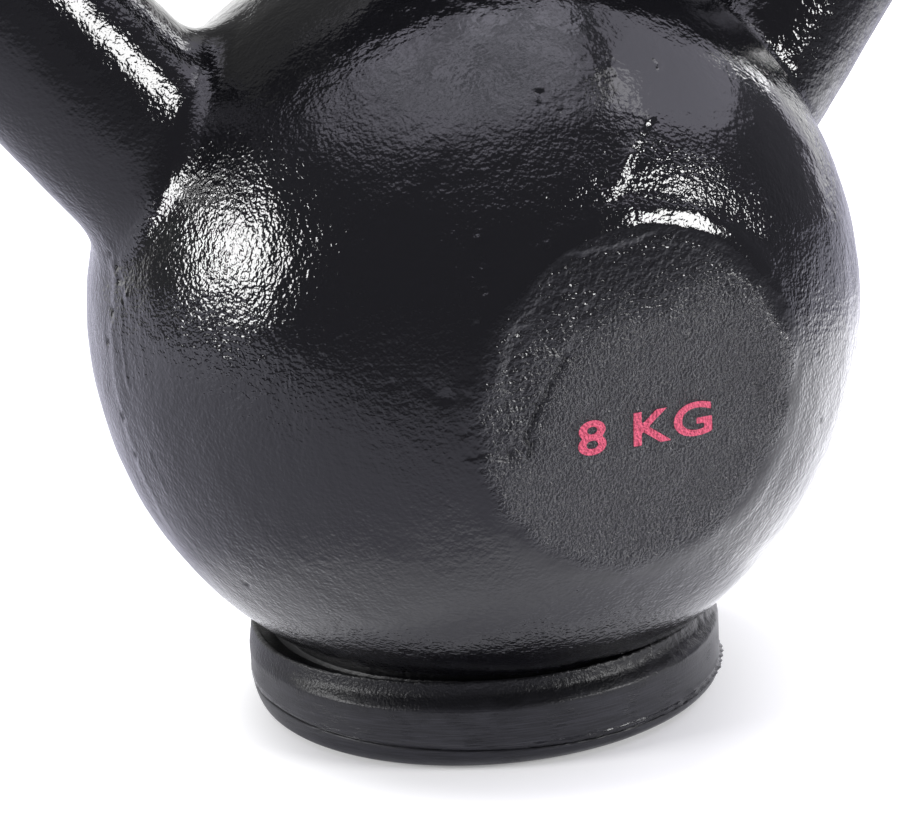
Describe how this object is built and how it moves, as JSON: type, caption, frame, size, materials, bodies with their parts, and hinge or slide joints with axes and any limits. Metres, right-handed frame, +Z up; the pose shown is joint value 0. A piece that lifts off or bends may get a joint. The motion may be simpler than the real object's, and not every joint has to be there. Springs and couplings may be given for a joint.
{
  "type": "kettlebell",
  "caption": "Round cast-iron kettlebell with flat round front and back faces, a flared loop handle and a bonded rubber foot.",
  "frame": {"origin": "on the floor, under the centre of the ball and of the handle", "axes": "+X along the handle's bar, -Y towards the front face, +Z up"},
  "size_m": [0.179, 0.1124, 0.201],
  "materials": {
    "enamelled_iron": "gloss black enamel over rough sand-cast iron, with matt faces and a plain red weight figure on the front one",
    "black_rubber": "matt black moulded rubber",
    "adhesive": "black rubber adhesive, glossy where it was squeezed out"
  },
  "bodies": {
    "root": {"iron_casting": "enamelled_iron", "rubber_foot": "black_rubber", "adhesive_bond": "adhesive"}
  },
  "joints": []
}
